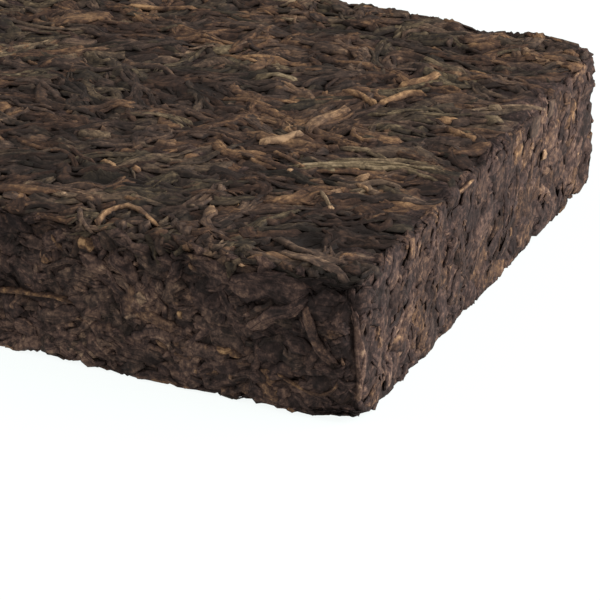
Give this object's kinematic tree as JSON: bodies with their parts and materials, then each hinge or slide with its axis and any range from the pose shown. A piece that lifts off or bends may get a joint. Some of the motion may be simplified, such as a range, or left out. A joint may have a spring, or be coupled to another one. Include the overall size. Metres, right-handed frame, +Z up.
{
  "type": "pu erh tea brick",
  "caption": "Rectangular brick of dark fermented tea leaves pressed in a mould, with rounded edges, uneven leafy faces and a flat underside.",
  "frame": {"origin": "middle of the underside, on the surface that the brick rests on", "axes": "+X along the brick's length, +Y across its width, +Z up through its thickness"},
  "size_m": [0.148, 0.098, 0.025],
  "materials": {
    "pressed_leaf": "dry matt pressed tea leaf, dark brown"
  },
  "bodies": {
    "root": {"tea_brick": "pressed_leaf"}
  },
  "joints": []
}
